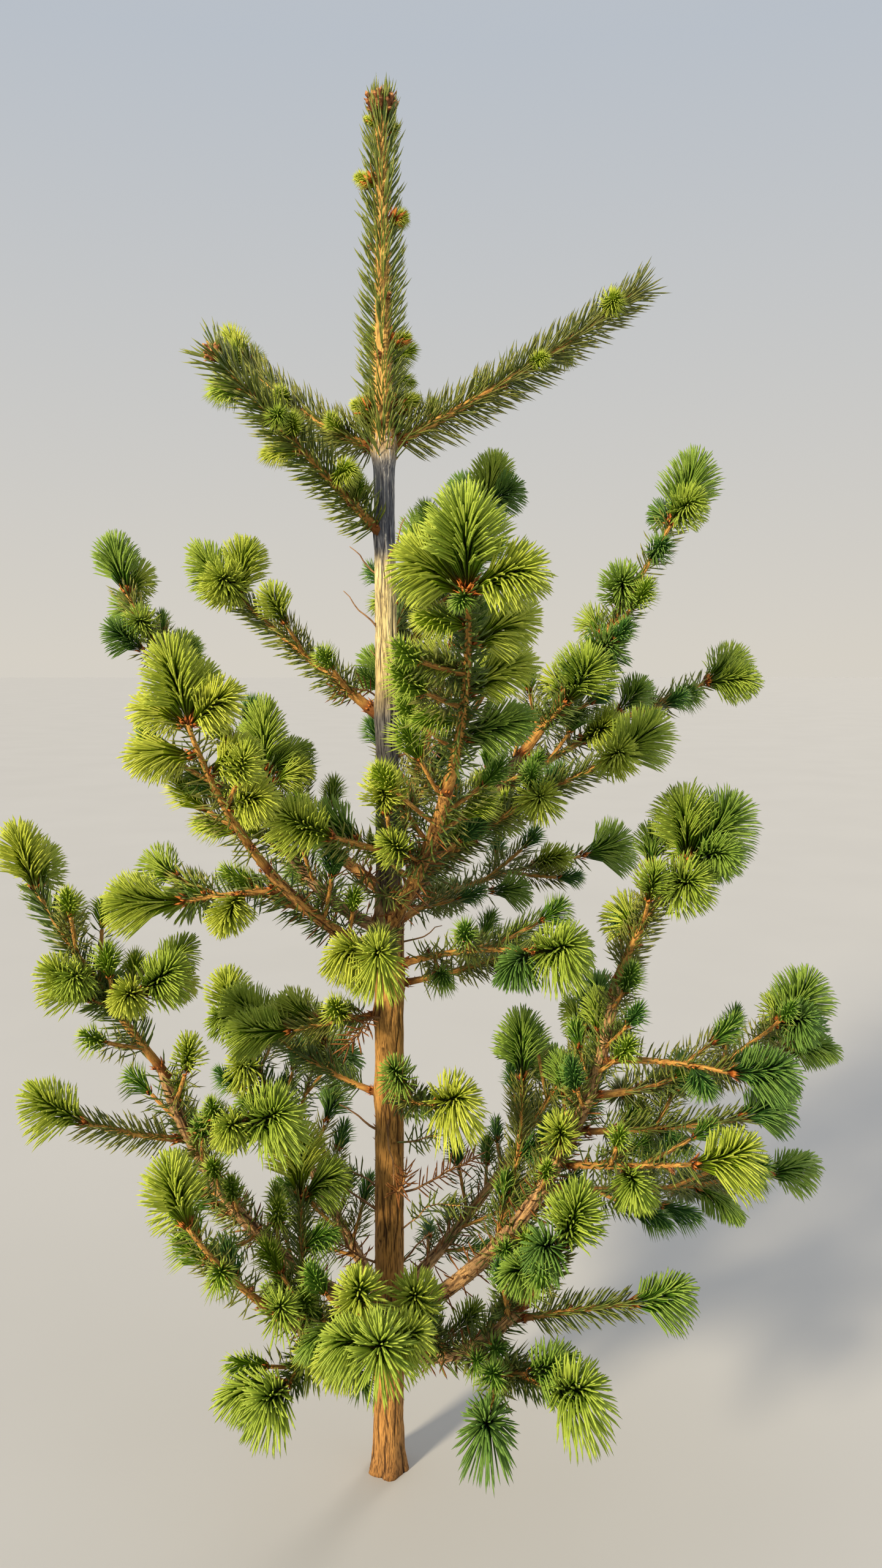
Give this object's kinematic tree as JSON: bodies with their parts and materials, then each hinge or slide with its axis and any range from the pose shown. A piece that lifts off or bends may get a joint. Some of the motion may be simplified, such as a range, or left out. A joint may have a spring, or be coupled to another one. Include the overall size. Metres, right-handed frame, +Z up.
{
  "type": "spruce tree",
  "caption": "Young spruce tree rooted in the ground, with a straight trunk, curved boughs and soft new tufts of bright green needles in spring",
  "frame": {"origin": "middle of the flat cut under the trunk, at ground level", "axes": "+Z up along the trunk, +X to the right in the picture, +Y away from the viewer"},
  "size_m": [0.5532, 0.455, 0.9013],
  "materials": {
    "trunk_bark": "rough brown bark, greyer and paler towards the top, with fine cracks",
    "bough_bark": "flaky orange brown bark with small pegs where needles stood",
    "needle_shoots": "stiff dark green old needles and soft bright yellow green new ones"
  },
  "bodies": {
    "root": {"trunk": "trunk_bark", "front_tall": "bough_bark", "left_front": "bough_bark", "left_grey": "bough_bark", "left_long": "bough_bark", "right_tall": "bough_bark", "back_tall": "bough_bark", "left_low": "bough_bark", "right_low": "bough_bark", "right_front_low": "bough_bark", "left_front_low": "bough_bark", "back_left_low": "bough_bark", "back_right_low": "bough_bark", "leader_lower_needles": "needle_shoots", "leader_upper_needles": "needle_shoots", "right_top_spray": "needle_shoots", "left_top_spray": "needle_shoots", "back_top_spray": "needle_shoots", "left_brown_spray": "needle_shoots", "left_mid_spray": "needle_shoots", "right_mid_spray": "needle_shoots", "back_high_spray": "needle_shoots", "front_tall_crown": "needle_shoots", "left_front_crown": "needle_shoots", "left_grey_crown": "needle_shoots", "left_long_crown": "needle_shoots", "right_tall_crown": "needle_shoots", "back_tall_crown": "needle_shoots", "left_low_crown": "needle_shoots", "right_low_crown": "needle_shoots", "right_front_low_crown": "needle_shoots", "left_front_low_crown": "needle_shoots", "back_left_low_crown": "needle_shoots", "back_right_low_crown": "needle_shoots", "front_low_spray": "needle_shoots", "right_front_spray": "needle_shoots", "right_back_spray": "needle_shoots", "right_far_spray": "needle_shoots", "left_side_spray": "needle_shoots", "front_left_spray": "needle_shoots", "left_low_outer_spray": "needle_shoots", "left_low_inner_spray": "needle_shoots", "right_low_outer_spray": "needle_shoots", "right_low_front_spray": "needle_shoots", "right_low_middle_spray": "needle_shoots", "right_low_near_spray": "needle_shoots", "right_low_under_spray": "needle_shoots", "right_low_upright_spray": "needle_shoots", "right_front_outer_spray": "needle_shoots", "right_front_near_spray": "needle_shoots", "right_front_inner_spray": "needle_shoots", "left_front_star_spray": "needle_shoots", "left_front_down_spray": "needle_shoots", "left_front_dark_spray": "needle_shoots", "left_dipping_spray": "needle_shoots", "left_rising_spray": "needle_shoots", "front_short_spray": "needle_shoots", "front_right_spray": "needle_shoots", "front_middle_spray": "needle_shoots", "right_short_spray": "needle_shoots"}
  },
  "joints": []
}
